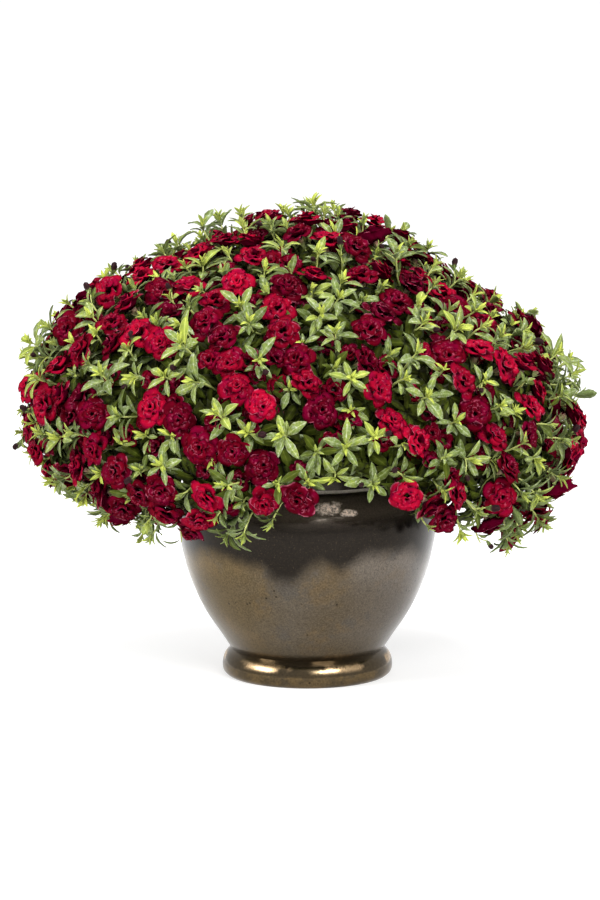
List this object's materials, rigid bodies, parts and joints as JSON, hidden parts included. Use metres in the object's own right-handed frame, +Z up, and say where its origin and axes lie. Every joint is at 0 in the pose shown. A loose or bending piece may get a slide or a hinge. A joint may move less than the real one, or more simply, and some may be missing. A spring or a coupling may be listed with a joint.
{
  "type": "calibrachoa",
  "caption": "Calibrachoa with double red blooms over small grey-green leaves, grown as a mound in a round glazed pot with a foot ring.",
  "frame": {"origin": "middle of the pot's flat base, on the surface that it stands on", "axes": "+Z up along the pot's axis, and -Y towards the front, where the mound parts and the rim shows"},
  "size_m": [0.5246, 0.5117, 0.4346],
  "materials": {
    "bronze_glaze": "glossy metallic bronze glaze on stoneware, darker towards the shoulder",
    "potting_soil": "dark crumbly potting soil",
    "foliage": "soft grey-green leaves with paler yellow-green shoot tips",
    "petals": "velvety crimson petals with ruby shade and a faint magenta cast"
  },
  "bodies": {
    "root": {"blooms_01": "petals", "blooms_02": "petals", "blooms_03": "petals", "blooms_04": "petals", "blooms_05": "petals", "blooms_06": "petals", "blooms_07": "petals", "blooms_08": "petals", "blooms_09": "petals", "blooms_10": "petals", "blooms_11": "petals", "blooms_12": "petals", "blooms_13": "petals", "blooms_14": "petals", "blooms_15": "petals", "blooms_16": "petals", "blooms_17": "petals", "blooms_18": "petals", "blooms_19": "petals", "blooms_20": "petals", "blooms_21": "petals", "blooms_22": "petals", "blooms_23": "petals", "blooms_24": "petals", "blooms_25": "petals", "blooms_26": "petals", "blooms_27": "petals", "blooms_28": "petals", "blooms_29": "petals", "blooms_30": "petals", "blooms_31": "petals", "blooms_32": "petals", "blooms_33": "petals", "blooms_34": "petals", "blooms_35": "petals", "leafy_stem_01": "foliage", "leafy_stem_02": "foliage", "leafy_stem_03": "foliage", "leafy_stem_04": "foliage", "leafy_stem_05": "foliage", "leafy_stem_06": "foliage", "leafy_stem_07": "foliage", "leafy_stem_08": "foliage", "leafy_stem_09": "foliage", "leafy_stem_10": "foliage", "leafy_stem_11": "foliage", "leafy_stem_12": "foliage", "leafy_stem_13": "foliage", "leafy_stem_14": "foliage", "leafy_stem_15": "foliage", "leafy_stem_16": "foliage", "leafy_stem_17": "foliage", "leafy_stem_18": "foliage", "leafy_stem_19": "foliage", "leafy_stem_20": "foliage", "leafy_stem_21": "foliage", "pot": "bronze_glaze", "soil": "potting_soil"}
  },
  "joints": []
}
